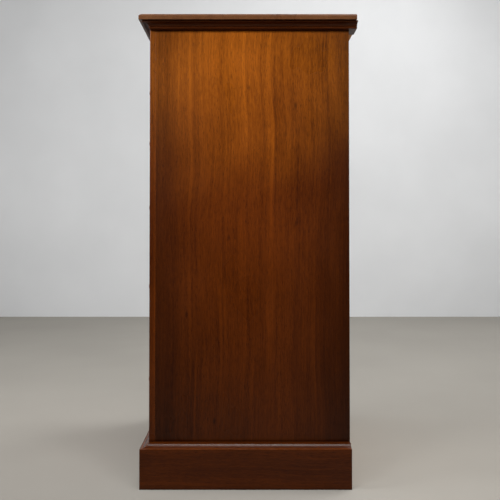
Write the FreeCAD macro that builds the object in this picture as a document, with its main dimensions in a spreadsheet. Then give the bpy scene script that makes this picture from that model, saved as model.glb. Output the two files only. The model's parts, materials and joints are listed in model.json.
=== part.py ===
"""Tall chest of five graduated drawers with a plinth, two pilasters and a moulded cornice."""

import FreeCAD, Part
import math
import os
import Sketcher

doc = FreeCAD.newDocument("tall_chest")

# Driving dimensions in millimetres, and counts
CELLS = {
    # carcase
    "case_width": 560,
    "case_depth": 492,
    "case_height": 1060,
    "case_sink": 9,
    "side_thick": 18,
    "board_thick": 18,
    "back_thick": 9,
    "back_seat": 9,
    "back_board_count": 4,
    "back_lap": 8,
    "back_gap": 0.6,
    "housing_depth": 8,
    "dovetail_lap": 5,
    "case_tail_count": 7,
    "case_tail_narrow": 34,
    "case_tail_flare": 3,
    # front of the carcase
    "drawer_count": 5,
    "drawer_step": 38,
    "rail_height": 18,
    "rail_depth": 60,
    "frieze_height": 81.5,
    "frieze_thick": 20,
    "pilaster_width": 42,
    "pilaster_thick": 15,
    "arris_round": 2,
    # inside of the carcase
    "runner_reach": 46,
    "guide_height": 20,
    "guide_end_gap": 20,
    "stop_width": 44,
    "stop_depth": 28,
    "stop_thick": 5,
    "stop_spacing": 280,
    # plinth
    "plinth_height": 99,
    "plinth_proud": 33.5,
    "plinth_thick": 20,
    "bearer_width": 45,
    "bearer_height": 30,
    "block_width": 40,
    "block_floor_gap": 3,
    "ovolo_height": 9,
    "ovolo_quirk": 2,
    "ovolo_margin": 1,
    "plinth_ledge": 2.5,
    # cornice and top
    "cornice_height": 16,
    "cornice_proud": 30,
    "cornice_member": 68,
    "cornice_fillet": 3.5,
    "cornice_step": 2.5,
    "cornice_bead": 5.7,
    "bead_bulge": 2.2,
    "cove_return": 1.5,
    "cornice_tail": 3.5,
    "slab_thick": 17,
    "slab_proud": 38,
    "slab_back_proud": 15,
    "thumb_width": 16,
    "thumb_drop": 7.6,
    # drawers
    "front_thick": 20,
    "drawer_length": 455,
    "drawer_side_thick": 10,
    "drawer_back_thick": 10,
    "drawer_bottom_thick": 7,
    "side_clearance": 0.75,
    "top_clearance": 1.2,
    "run_clearance": 0.3,
    "side_drop": 4,
    "back_drop": 9,
    "bottom_rise": 8,
    "groove_depth": 5,
    "bottom_play": 0.2,
    "front_lap": 5,
    "tail_spacing": 36,
    "tail_flare": 2.5,
    "tail_share": 0.6,
    "pin_spacing": 30,
    "pin_width": 9,
    "pin_flare": 1.6,
    "pin_margin": 3,
    # knobs
    "knob_diameter": 35,
    "knob_projection": 37,
    "knob_neck_diameter": 18,
    "knob_neck_length": 16,
    "knob_rim_width": 9,
    "knob_shoulder_width": 3.5,
    "knob_shoulder_drop": 2,
    "knob_brow_width": 2.5,
    "knob_face_diameter": 22,
    "knob_spacing": 280,
}

sheet = doc.addObject("Spreadsheet::Sheet", "Sizes")
for row, (alias, number) in enumerate(CELLS.items(), start=1):
    sheet.set(f"A{row}", alias)
    sheet.set(f"B{row}", str(number))
    sheet.setAlias(f"B{row}", alias)
doc.recompute()


class Size:
    """A size that holds its value in millimetres and the formula that gives it from the sheet."""

    def __init__(self, number, formula):
        self.number = number
        self.formula = formula

    def __add__(self, other):
        other = as_size(other)
        return Size(self.number + other.number, f"({self.formula} + {other.formula})")

    def __sub__(self, other):
        other = as_size(other)
        return Size(self.number - other.number, f"({self.formula} - {other.formula})")

    def __mul__(self, other):
        other = as_size(other)
        return Size(self.number * other.number, f"({self.formula} * {other.formula})")

    def __truediv__(self, other):
        other = as_size(other)
        return Size(self.number / other.number, f"({self.formula} / {other.formula})")

    def __rsub__(self, other):
        return as_size(other) - self

    def __neg__(self):
        return self * -1


def as_size(value):
    return value if isinstance(value, Size) else Size(value, f"({value})")


class Cells:
    """The sheet's cells as sizes, by their aliases."""

    def __getattr__(self, alias):
        return Size(CELLS[alias], f"Sizes.{alias}")


cell = Cells()
nothing = as_size(0)


def rounded(size):
    return Size(round(size.number), f"round({size.formula})")


# Planes of the carcase. The origin is on the floor, in the middle of the whole object.
half_width = cell.case_width / 2
whole_depth = cell.slab_proud + cell.case_depth + cell.slab_back_proud + cell.cornice_tail
front_plane = cell.slab_proud - whole_depth / 2
back_plane = front_plane + cell.case_depth
back_board_plane = back_plane - cell.back_thick
inner_half = half_width - cell.side_thick
pilaster_inner = half_width - cell.pilaster_width
case_foot = cell.plinth_height - cell.case_sink
case_top = case_foot + cell.case_height

# Drawer openings, numbered from the top, each taller than the one above by the same step
drawer_numbers = range(1, CELLS["drawer_count"] + 1)
floor = case_foot + cell.board_thick
openings_top = case_top - cell.frieze_height
rails_total = cell.rail_height * (cell.drawer_count - 1)
mean_opening = (openings_top - floor - rails_total) / cell.drawer_count


def opening_height(number):
    return mean_opening + cell.drawer_step * (number - (cell.drawer_count + 1) / 2)


def opening_foot(number):
    grown = cell.drawer_step * (number - cell.drawer_count) * number / 2
    return openings_top - mean_opening * number - grown - cell.rail_height * (number - 1)


rail_feet = [opening_foot(number) - cell.rail_height for number in drawer_numbers[:-1]]
opening_feet = [opening_foot(number) for number in drawer_numbers]

# Drawer sizes that all drawers share
front_half = pilaster_inner - cell.side_clearance
box_inner_half = front_half - cell.drawer_side_thick
bottom_top = cell.bottom_rise + cell.drawer_bottom_thick
pin_root = cell.pin_width / 2


class Drawer:
    """The heights of one drawer, over the lower edge of its front."""

    def __init__(self, number):
        self.label = f"drawer_{number}"
        self.sill = opening_foot(number) + cell.run_clearance
        self.front_height = opening_height(number) - cell.top_clearance - cell.run_clearance
        self.side_height = self.front_height - cell.side_drop
        self.back_top = self.side_height - cell.back_drop
        self.tail_count = rounded(self.side_height / cell.tail_spacing)
        self.tail_pitch = self.side_height / self.tail_count
        self.tail_root = self.tail_pitch * cell.tail_share / 2
        self.pin_first = bottom_top + cell.pin_margin + pin_root
        pin_room = self.back_top - cell.pin_margin - pin_root - self.pin_first
        self.pin_count = rounded(pin_room / cell.pin_spacing) + 1
        self.pin_pitch = pin_room / (self.pin_count - 1)


# Drawing helpers

def bind(item, prop, size):
    item.setExpression(prop, as_size(size).formula)


def put(item, x=0, y=0, z=0):
    for axis, size in zip("xyz", (x, y, z)):
        bind(item, f"Placement.Base.{axis}", size)


def name_of(body, kind):
    return f"{body.Label}_{kind}_{len(body.Group)}"


def new_body(label, x=0, y=0, z=0):
    body = doc.addObject("PartDesign::Body", label)
    body.Label = label
    put(body, x, y, z)
    return body


def origin_feature(body, role):
    return next(item for item in body.Origin.OriginFeatures if item.Role == role)


def sketch_on(body, role, offset=0, lift=0):
    """A sketch on one of the body's own planes, moved along its normal by offset and up by lift."""
    sketch = body.newObject("Sketcher::SketchObject", name_of(body, "sketch"))
    sketch.AttachmentSupport = [(origin_feature(body, role), "")]
    sketch.MapMode = "FlatFace"
    bind(sketch, "AttachmentOffset.Base.z", offset)
    bind(sketch, "AttachmentOffset.Base.y", lift)
    return sketch


def tie(sketch, kind, target, size):
    """Adds a named dimension to a sketch and ties it to a formula."""
    label = f"{kind.lower()}_{sketch.ConstraintCount}"
    index = sketch.addConstraint(Sketcher.Constraint(kind, *target, size.number))
    sketch.renameConstraint(index, label)
    bind(sketch, f"Constraints.{label}", size)


def bent_edge(start, end, radius):
    """An arc from start to end, drawn anticlockwise.

    It bulges to the left of the way there, or to the right where radius is negative.
    """
    chord = end - start
    reach = abs(radius)
    height = reach - math.sqrt(reach * reach - chord.Length * chord.Length / 4)
    left = FreeCAD.Vector(-chord.y, chord.x, 0).normalize()
    middle = (start + end) / 2 + left * math.copysign(height, radius)
    return Part.Arc(end, middle, start) if radius > 0 else Part.Arc(start, middle, end)


def outline(sketch, corners, bends=None):
    """A closed outline through corners, whose every corner is dimensioned from the sketch's origin.

    bends gives the edges that are arcs: the number of the corner where one starts, with its radius.
    """
    bends = bends or {}
    corners = [(as_size(x), as_size(y)) for x, y in corners]
    points = [FreeCAD.Vector(x.number, y.number, 0) for x, y in corners]
    ends = []
    for index, start in enumerate(points):
        end = points[(index + 1) % len(points)]
        if index in bends:
            edge = bent_edge(start, end, bends[index].number)
        else:
            edge = Part.LineSegment(start, end)
        number = sketch.addGeometry(edge)
        forward = sketch.Geometry[number].StartPoint.distanceToPoint(start) < 1e-6
        ends.append((number, 1, 2) if forward else (number, 2, 1))
    for index, (number, first, last) in enumerate(ends):
        follower, follower_first, _ = ends[(index + 1) % len(ends)]
        sketch.addConstraint(Sketcher.Constraint("Coincident", number, last, follower, follower_first))
    for (x, y), (number, first, _) in zip(corners, ends):
        tie(sketch, "DistanceX", (-1, 1, number, first), x)
        tie(sketch, "DistanceY", (-1, 1, number, first), y)
    for index, radius in bends.items():
        size = radius if radius.number > 0 else -radius
        tie(sketch, "Radius", (ends[index][0],), size)


def rectangle(sketch, x_from, x_to, y_from, y_to):
    outline(sketch, [(x_from, y_from), (x_to, y_from), (x_to, y_to), (x_from, y_to)])


def pad(body, sketch, length, backward=False, symmetric=False):
    feature = body.newObject("PartDesign::Pad", name_of(body, "pad"))
    feature.Profile = sketch
    feature.Reversed = backward
    feature.SideType = "Symmetric" if symmetric else "One side"
    bind(feature, "Length", length)
    return feature


def pocket(body, sketch, depth=None, backward=False, symmetric=False):
    """A cut of a given depth, or right through where none is given."""
    feature = body.newObject("PartDesign::Pocket", name_of(body, "pocket"))
    feature.Profile = sketch
    feature.Reversed = backward
    feature.SideType = "Symmetric" if symmetric else "One side"
    if depth is None:
        feature.Type = "ThroughAll"
    else:
        bind(feature, "Length", depth)
    return feature


def row_of(body, features, role, count, spacing):
    """Repeats features, or the whole shape where none are given, along one of the body's axes."""
    doc.recompute()
    feature = body.newObject("PartDesign::LinearPattern", name_of(body, "row"))
    feature.Originals = features or []
    feature.TransformMode = "Features" if features else "Whole shape"
    feature.Direction = (origin_feature(body, role), [""])
    feature.Mode = "Spacing"
    bind(feature, "Offset", spacing)
    bind(feature, "Occurrences", count)
    body.Tip = feature
    return feature


def mirror(body):
    """Adds the body's own mirror image on the other side of its middle plane."""
    doc.recompute()
    feature = body.newObject("PartDesign::Mirrored", name_of(body, "mirror"))
    feature.TransformMode = "Whole shape"
    feature.MirrorPlane = (origin_feature(body, "YZ_Plane"), [""])
    body.Tip = feature
    return feature


def mirrored_twin(source, label):
    """A left-hand piece made as the mirror image of its right-hand one."""
    twin = doc.addObject("Part::Mirroring", label)
    twin.Label = label
    twin.Source = source
    twin.Normal = (1, 0, 0)
    return twin


def box(label, x, y, z):
    """A plain board, given by its two limits along each axis."""
    board = doc.addObject("Part::Box", label)
    board.Label = label
    for prop, (low, high) in zip(("Length", "Width", "Height"), (x, y, z)):
        bind(board, prop, high - low)
    put(board, x[0], y[0], z[0])
    return board


def group_of(label, members):
    group = doc.addObject("Part::Compound", label)
    group.Label = label
    group.Links = members
    return group


# Dovetails of the carcase: seen from above, each tail is a wedge that is widest at its end

board_front = {"case_bottom": front_plane, "case_top": front_plane + cell.frieze_thick}
tail_length = cell.side_thick - cell.dovetail_lap


def case_tail_pitch(label):
    return (back_board_plane - board_front[label]) / cell.case_tail_count


def draw_case_tail(sketch, label):
    middle = board_front[label] + case_tail_pitch(label) / 2
    root = cell.case_tail_narrow / 2
    tip = root + cell.case_tail_flare
    end = inner_half + tail_length
    outline(
        sketch,
        [
            (inner_half, middle - root),
            (end, middle - tip),
            (end, middle + tip),
            (inner_half, middle + root),
        ],
    )


def case_board(label, foot):
    """The carcase's bottom or top board, with a row of dovetails at each end."""
    body = new_body(label, z=foot)
    plan = sketch_on(body, "XY_Plane")
    rectangle(plan, -inner_half, inner_half, board_front[label], back_board_plane)
    pad(body, plan, cell.board_thick)
    tail = sketch_on(body, "XY_Plane")
    draw_case_tail(tail, label)
    tail_pad = pad(body, tail, cell.board_thick)
    row_of(body, [tail_pad], "Y_Axis", cell.case_tail_count, case_tail_pitch(label))
    mirror(body)
    return body


def case_side(label):
    """The right side: a board with a rebate for the back, housings for rails, and dovetail sockets."""
    body = new_body(label)
    face = sketch_on(body, "YZ_Plane", half_width)
    rectangle(face, front_plane, back_plane, case_foot, case_top)
    pad(body, face, cell.side_thick, backward=True)

    rebate = sketch_on(body, "XY_Plane")
    rectangle(rebate, inner_half, inner_half + cell.back_seat, back_board_plane, back_plane)
    pocket(body, rebate, backward=True)

    housings = sketch_on(body, "YZ_Plane", inner_half)
    for foot in [openings_top] + rail_feet:
        rectangle(housings, front_plane, back_board_plane, foot, foot + cell.rail_height)
    pocket(body, housings, cell.housing_depth, backward=True)

    frieze_seat = sketch_on(body, "YZ_Plane", inner_half)
    seat_foot = openings_top + cell.rail_height
    rectangle(frieze_seat, front_plane, front_plane + cell.frieze_thick, seat_foot, case_top)
    pocket(body, frieze_seat, cell.housing_depth, backward=True)

    for board, height, upward in (("case_bottom", case_foot, True), ("case_top", case_top, False)):
        socket = sketch_on(body, "XY_Plane", height)
        draw_case_tail(socket, board)
        cut = pocket(body, socket, cell.board_thick, backward=upward)
        row_of(body, [cut], "Y_Axis", cell.case_tail_count, case_tail_pitch(board))
    return body


def back_boards():
    """Upright boards in the sides' rebates, each with a tongue of half its thickness over the next."""
    body = new_body("back_boards", z=case_foot)
    plan = sketch_on(body, "XY_Plane")
    seat = inner_half + cell.back_seat
    width = seat * 2 / cell.back_board_count
    rebate_depth = back_board_plane + cell.back_thick / 2
    tongue_depth = rebate_depth - cell.back_gap / 2
    last = CELLS["back_board_count"] - 1
    for index in range(last + 1):
        left = width * index - seat
        right = left + width
        shoulder = right - cell.back_gap
        tongue_end = shoulder + cell.back_lap
        rebate_end = left + cell.back_lap
        corners = [(right, back_board_plane), (right, back_plane)]
        if index < last:
            corners = [
                (tongue_end, back_board_plane),
                (tongue_end, tongue_depth),
                (shoulder, tongue_depth),
                (shoulder, back_plane),
            ]
        corners.append((left, back_plane))
        if index > 0:
            corners += [(left, rebate_depth), (rebate_end, rebate_depth), (rebate_end, back_board_plane)]
        else:
            corners.append((left, back_board_plane))
        outline(plan, corners)
    pad(body, plan, cell.case_height)
    return body


def drawer_rails():
    """The rails between the drawers, housed in the sides."""
    body = new_body("drawer_rails")
    ends = sketch_on(body, "YZ_Plane")
    for foot in rail_feet:
        rectangle(ends, front_plane, front_plane + cell.rail_depth, foot, foot + cell.rail_height)
    pad(body, ends, (inner_half + cell.housing_depth) * 2, symmetric=True)
    return body


def paired_strips(label, feet, x, y, height):
    """Strips that stand at several feet, on the right and on the left."""
    body = new_body(label)
    ends = sketch_on(body, "YZ_Plane", x[0])
    for foot in feet:
        rectangle(ends, y[0], y[1], foot, foot + height)
    pad(body, ends, x[1] - x[0])
    mirror(body)
    return body


def pilaster():
    """The right pilaster, a flat strip with softened front edges, planted over the side's edge."""
    moulding_top = cell.plinth_height + cell.ovolo_height
    body = new_body("pilaster_right", z=moulding_top)
    plan = sketch_on(body, "XY_Plane")
    face = front_plane - cell.pilaster_thick
    soft = cell.arris_round
    outline(
        plan,
        [
            (pilaster_inner, front_plane),
            (pilaster_inner, face + soft),
            (pilaster_inner + soft, face),
            (half_width - soft, face),
            (half_width, face + soft),
            (half_width, front_plane),
        ],
        {1: -soft, 3: -soft},
    )
    pad(body, plan, case_top - moulding_top)
    return body


# Plinth

plinth_outer = half_width + cell.plinth_proud
plinth_inner = plinth_outer - cell.plinth_thick
plinth_front_face = front_plane - cell.plinth_proud
plinth_front_back = plinth_front_face + cell.plinth_thick


def plinth_board(label, corners):
    body = new_body(label)
    plan = sketch_on(body, "XY_Plane")
    outline(plan, corners)
    pad(body, plan, cell.plinth_height)
    return body


def plinth_blocks():
    """Bearers that carry the carcase, and upright blocks in the corners under them."""
    bearer_z = (case_foot - cell.bearer_height, case_foot)
    front = (plinth_front_back, plinth_front_back + cell.bearer_width)
    rear_face = back_plane - cell.plinth_thick
    rear = (rear_face - cell.bearer_width, rear_face)
    members = [
        box("bearer_front", (-plinth_inner, plinth_inner), front, bearer_z),
        box("bearer_back", (-plinth_inner, plinth_inner), rear, bearer_z),
    ]
    right = (plinth_inner - cell.bearer_width, plinth_inner)
    left = (-plinth_inner, cell.bearer_width - plinth_inner)
    block_z = (cell.block_floor_gap, bearer_z[0])
    block_right = (plinth_inner - cell.block_width, plinth_inner)
    block_left = (-plinth_inner, cell.block_width - plinth_inner)
    block_front = (front[0], front[0] + cell.block_width)
    block_rear = (rear_face - cell.block_width, rear_face)
    for hand, bearer_x, block_x in (("right", right, block_right), ("left", left, block_left)):
        members.append(box(f"bearer_{hand}", bearer_x, (front[1], rear[0]), bearer_z))
        members.append(box(f"block_front_{hand}", block_x, block_front, block_z))
        members.append(box(f"block_back_{hand}", block_x, block_rear, block_z))
    return group_of("plinth_blocks", members)


# Mouldings: a section, given by how far it stands proud and how high, run along X or Y and mitred

def arc_radius(width, height):
    """The radius of an arc that starts level, falls by height and runs out by width."""
    return (width * width + height * height) / (height * 2)


def plinth_section():
    flat = cell.pilaster_thick + cell.ovolo_margin
    lip = cell.plinth_proud - cell.plinth_ledge
    shoulder = cell.ovolo_height - cell.ovolo_quirk
    corners = [(nothing, nothing), (lip, nothing), (flat, shoulder), (flat, cell.ovolo_height),
               (nothing, cell.ovolo_height)]
    return corners, {1: arc_radius(lip - flat, shoulder)}


def cornice_section():
    fillet_foot = cell.cornice_height - cell.cornice_fillet
    bead = cell.cornice_bead
    bead_root = cell.pilaster_thick - cell.bead_bulge
    cove_root = bead_root + cell.cove_return
    cove_end = cell.cornice_proud - cell.cornice_step
    corners = [
        (cell.cornice_proud - cell.cornice_member, nothing),
        (bead_root, nothing),
        (bead_root, bead),
        (cove_root, bead),
        (cove_end, fillet_foot),
        (cell.cornice_proud, fillet_foot),
        (cell.cornice_proud, cell.cornice_height),
        (cell.cornice_proud - cell.cornice_member, cell.cornice_height),
    ]
    cove = arc_radius(cove_end - cove_root, fillet_foot - bead)
    return corners, {1: -arc_radius(bead / 2, cell.bead_bulge), 3: cove}


def run_moulding(label, foot, section, inner, tail):
    """The front run along X, or the right-hand run along Y out to tail where one is given."""
    corners, bends = section
    body = new_body(label, z=foot)
    outer = max((proud for proud, _ in corners), key=lambda proud: proud.number)
    corner_x = half_width + outer
    corner_y = front_plane - outer
    inner_x = half_width + inner
    inner_y = front_plane - inner
    if tail is None:
        sketch = sketch_on(body, "YZ_Plane")
        outline(sketch, [(front_plane - proud, height) for proud, height in corners],
                {index: -radius for index, radius in bends.items()})
        pad(body, sketch, corner_x * 2, symmetric=True)
        for hand in (1, -1):
            waste = sketch_on(body, "XY_Plane")
            outline(waste, [(inner_x * hand, inner_y), (corner_x * hand, inner_y), (corner_x * hand, corner_y)])
            pocket(body, waste, backward=True)
    else:
        sketch = sketch_on(body, "XZ_Plane", -tail)
        outline(sketch, [(half_width + proud, height) for proud, height in corners], bends)
        pad(body, sketch, tail - corner_y)
        waste = sketch_on(body, "XY_Plane")
        outline(waste, [(inner_x, inner_y), (inner_x, corner_y), (corner_x, corner_y)])
        pocket(body, waste, backward=True)
    return body


def top_slab():
    """The top board, with a thumb moulding along its front and sides and a square back."""
    body = new_body("top_slab", z=case_top + cell.cornice_height)
    reach = half_width + cell.slab_proud
    front = front_plane - cell.slab_proud
    back = back_plane + cell.slab_back_proud
    plan = sketch_on(body, "XY_Plane")
    rectangle(plan, -reach, reach, front, back)
    pad(body, plan, cell.slab_thick)
    radius = arc_radius(cell.thumb_width, cell.thumb_drop)
    edge_height = cell.slab_thick - cell.thumb_drop
    ends = sketch_on(body, "XZ_Plane")
    for hand in (1, -1):
        outline(
            ends,
            [
                ((reach - cell.thumb_width) * hand, cell.slab_thick),
                (reach * hand, edge_height),
                (reach * hand, cell.slab_thick),
            ],
            {0: radius * hand},
        )
    pocket(body, ends, symmetric=True)
    nose = sketch_on(body, "YZ_Plane")
    outline(
        nose,
        [(front + cell.thumb_width, cell.slab_thick), (front, edge_height), (front, cell.slab_thick)],
        {0: -radius},
    )
    pocket(body, nose, symmetric=True)
    return body


# Drawers: every piece is drawn with the front's lower edge at the origin, then put in its opening

def draw_front_tail(sketch, drawer):
    """The lowest tail between a drawer's side and front, widest at its end."""
    middle = drawer.tail_pitch / 2
    tip = drawer.tail_root + cell.tail_flare
    outline(
        sketch,
        [
            (cell.front_thick, middle - drawer.tail_root),
            (cell.front_thick, middle + drawer.tail_root),
            (cell.front_lap, middle + tip),
            (cell.front_lap, middle - tip),
        ],
    )


def draw_back_pin(sketch, drawer):
    """The lowest pin between a drawer's side and back, widest where it leaves the back's inner face."""
    inner = cell.drawer_length - cell.drawer_back_thick
    tip = pin_root - cell.pin_flare
    outline(
        sketch,
        [
            (inner, drawer.pin_first - pin_root),
            (cell.drawer_length, drawer.pin_first - tip),
            (cell.drawer_length, drawer.pin_first + tip),
            (inner, drawer.pin_first + pin_root),
        ],
    )


def drawer_front(label, drawer):
    body = new_body(label, y=front_plane, z=drawer.sill)
    face = sketch_on(body, "XZ_Plane")
    rectangle(face, -front_half, front_half, nothing, drawer.front_height)
    pad(body, face, cell.front_thick, backward=True)

    groove = sketch_on(body, "YZ_Plane")
    rectangle(groove, cell.front_thick - cell.groove_depth, cell.front_thick, cell.bottom_rise, bottom_top)
    pocket(body, groove, symmetric=True)

    sockets = []
    for hand in (1, -1):
        socket = sketch_on(body, "YZ_Plane", front_half * hand)
        draw_front_tail(socket, drawer)
        sockets.append(pocket(body, socket, cell.drawer_side_thick, backward=hand < 0))
    row_of(body, sockets, "Z_Axis", drawer.tail_count, drawer.tail_pitch)
    return body


def drawer_sides(label, drawer):
    """The right side with tails at its front, sockets at its back and a groove, and its mirror image."""
    body = new_body(label, y=front_plane, z=drawer.sill)
    board = sketch_on(body, "YZ_Plane", front_half)
    rectangle(board, cell.front_thick, cell.drawer_length, nothing, drawer.side_height)
    pad(body, board, cell.drawer_side_thick, backward=True)

    tail = sketch_on(body, "YZ_Plane", front_half)
    draw_front_tail(tail, drawer)
    tail_pad = pad(body, tail, cell.drawer_side_thick, backward=True)
    row_of(body, [tail_pad], "Z_Axis", drawer.tail_count, drawer.tail_pitch)

    socket = sketch_on(body, "YZ_Plane", front_half)
    draw_back_pin(socket, drawer)
    cut = pocket(body, socket, cell.drawer_side_thick)
    row_of(body, [cut], "Z_Axis", drawer.pin_count, drawer.pin_pitch)

    groove = sketch_on(body, "XZ_Plane")
    rectangle(groove, box_inner_half, box_inner_half + cell.groove_depth, cell.bottom_rise, bottom_top)
    pocket(body, groove)
    mirror(body)
    return body


def drawer_back(label, drawer):
    """The back, above the bottom board, with a row of pins at each end."""
    body = new_body(label, y=front_plane, z=drawer.sill)
    face = sketch_on(body, "XZ_Plane", -cell.drawer_length)
    rectangle(face, -box_inner_half, box_inner_half, bottom_top, drawer.back_top)
    pad(body, face, cell.drawer_back_thick)
    pin = sketch_on(body, "YZ_Plane", box_inner_half)
    draw_back_pin(pin, drawer)
    pin_pad = pad(body, pin, cell.drawer_side_thick)
    row_of(body, [pin_pad], "Z_Axis", drawer.pin_count, drawer.pin_pitch)
    mirror(body)
    return body


def drawer_bottom(label, drawer):
    reach = box_inner_half + cell.groove_depth - cell.bottom_play
    depth = (front_plane + cell.front_thick - cell.groove_depth + cell.bottom_play,
             front_plane + cell.drawer_length)
    foot = drawer.sill + cell.bottom_rise
    return box(label, (-reach, reach), depth, (foot, foot + cell.drawer_bottom_thick))


def drawer_knobs(label, drawer):
    """Two turned knobs with a flared head and a bevelled brow, seated on the front at half its height."""
    body = new_body(label, y=front_plane, z=drawer.sill)
    sketch = sketch_on(body, "YZ_Plane", cell.knob_spacing / 2, lift=drawer.front_height / 2)
    neck = cell.knob_neck_diameter / 2
    rim = cell.knob_diameter / 2
    face = cell.knob_face_diameter / 2
    tip = -cell.knob_projection
    shoulder_at = tip + cell.knob_brow_width
    rim_end = shoulder_at + cell.knob_shoulder_width
    outline(
        sketch,
        [
            (nothing, nothing),
            (nothing, neck),
            (-cell.knob_neck_length, neck),
            (rim_end + cell.knob_rim_width, rim),
            (rim_end, rim),
            (shoulder_at, rim - cell.knob_shoulder_drop),
            (tip, face),
            (tip, nothing),
        ],
    )
    feature = body.newObject("PartDesign::Revolution", name_of(body, "turning"))
    feature.Profile = sketch
    feature.ReferenceAxis = (sketch, ["H_Axis"])
    feature.Angle = 360
    mirror(body)
    return body


# The whole chest

nodes = [
    case_board("case_bottom", case_foot),
    case_board("case_top", case_top - cell.board_thick),
]

side = case_side("side_right")
nodes += [side, mirrored_twin(side, "side_left"), back_boards(), drawer_rails()]

nodes.append(
    box(
        "frieze_rail",
        (-inner_half - cell.housing_depth, inner_half + cell.housing_depth),
        (front_plane, front_plane + cell.frieze_thick),
        (openings_top, case_top),
    )
)

nodes.append(
    paired_strips(
        "drawer_runners",
        [openings_top] + rail_feet,
        (inner_half - cell.runner_reach, inner_half + cell.housing_depth),
        (front_plane + cell.rail_depth, back_board_plane),
        cell.rail_height,
    )
)
nodes.append(
    paired_strips(
        "drawer_guides",
        opening_feet,
        (pilaster_inner, inner_half),
        (front_plane + cell.front_thick, back_board_plane - cell.guide_end_gap),
        cell.guide_height,
    )
)
stop_middle = cell.stop_spacing / 2
nodes.append(
    paired_strips(
        "drawer_stops",
        opening_feet,
        (stop_middle - cell.stop_width / 2, stop_middle + cell.stop_width / 2),
        (front_plane + cell.front_thick, front_plane + cell.front_thick + cell.stop_depth),
        cell.stop_thick,
    )
)

strip = pilaster()
nodes += [strip, mirrored_twin(strip, "pilaster_left")]

nodes.append(
    plinth_board(
        "plinth_front",
        [
            (-plinth_outer, plinth_front_face),
            (plinth_outer, plinth_front_face),
            (plinth_inner, plinth_front_back),
            (-plinth_inner, plinth_front_back),
        ],
    )
)
plinth_side = plinth_board(
    "plinth_right",
    [
        (plinth_outer, plinth_front_face),
        (plinth_outer, back_plane),
        (plinth_inner, back_plane),
        (plinth_inner, plinth_front_back),
    ],
)
nodes += [plinth_side, mirrored_twin(plinth_side, "plinth_left")]
nodes.append(
    box(
        "plinth_back",
        (-plinth_inner, plinth_inner),
        (back_plane - cell.plinth_thick, back_plane),
        (nothing, case_foot),
    )
)
nodes.append(plinth_blocks())

plinth_top = cell.plinth_height
nodes.append(run_moulding("plinth_moulding_front", plinth_top, plinth_section(), nothing, None))
plinth_run = run_moulding("plinth_moulding_right", plinth_top, plinth_section(), nothing, back_plane)
nodes += [plinth_run, mirrored_twin(plinth_run, "plinth_moulding_left")]

cornice_inner = cell.cornice_proud - cell.cornice_member
slab_back = back_plane + cell.slab_back_proud
nodes.append(run_moulding("cornice_front", case_top, cornice_section(), cornice_inner, None))
cornice_run = run_moulding(
    "cornice_right", case_top, cornice_section(), cornice_inner, slab_back + cell.cornice_tail
)
nodes += [cornice_run, mirrored_twin(cornice_run, "cornice_left")]
nodes.append(
    box(
        "cornice_back_rail",
        (-half_width - cornice_inner, half_width + cornice_inner),
        (slab_back - cell.cornice_member, slab_back),
        (case_top, case_top + cell.cornice_height),
    )
)
nodes.append(top_slab())

for number in drawer_numbers:
    drawer = Drawer(number)
    for piece, make in (
        ("front", drawer_front),
        ("sides", drawer_sides),
        ("back", drawer_back),
        ("bottom", drawer_bottom),
        ("knobs", drawer_knobs),
    ):
        nodes.append(make(f"{drawer.label}_{piece}", drawer))

doc.recompute()


# Checks before anything is written

def failed(item):
    return "Invalid" in item.State or "Error" in item.State


def cuts_and_adds(body):
    """Raises an error where a cut takes nothing away or a pad adds nothing."""
    before = 0
    for feature in body.Group:
        if not feature.isDerivedFrom("PartDesign::Feature"):
            continue
        volume = feature.Shape.Volume
        grew = volume > before + 1e-3
        shrank = volume < before - 1e-3
        if feature.TypeId == "PartDesign::Pocket" and not shrank:
            raise ValueError(f"{feature.Name} cuts nothing")
        if feature.TypeId in ("PartDesign::Pad", "PartDesign::Mirrored") and not grew:
            raise ValueError(f"{feature.Name} adds nothing")
        before = volume


for item in doc.Objects:
    if failed(item):
        raise ValueError(f"{item.Name} failed: {item.State}")
for item in doc.Objects:
    if item.TypeId == "PartDesign::Body":
        cuts_and_adds(item)
for node in nodes:
    if node.Shape.isNull() or not node.Shape.isValid():
        raise ValueError(f"{node.Label} has no valid shape")

os.makedirs("parts", exist_ok=True)
for node in nodes:
    node.Shape.exportStep(os.path.join("parts", f"{node.Label}.step"))
print(len(nodes), "nodes,", sum(len(node.Shape.Solids) for node in nodes), "solids")
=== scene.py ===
"""Looks of a tall chest of five graduated drawers: woods, turned knobs, back screws and stage."""

import collections
import json
import math
import random

import bmesh
import bpy
from mathutils import Matrix, Vector

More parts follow.
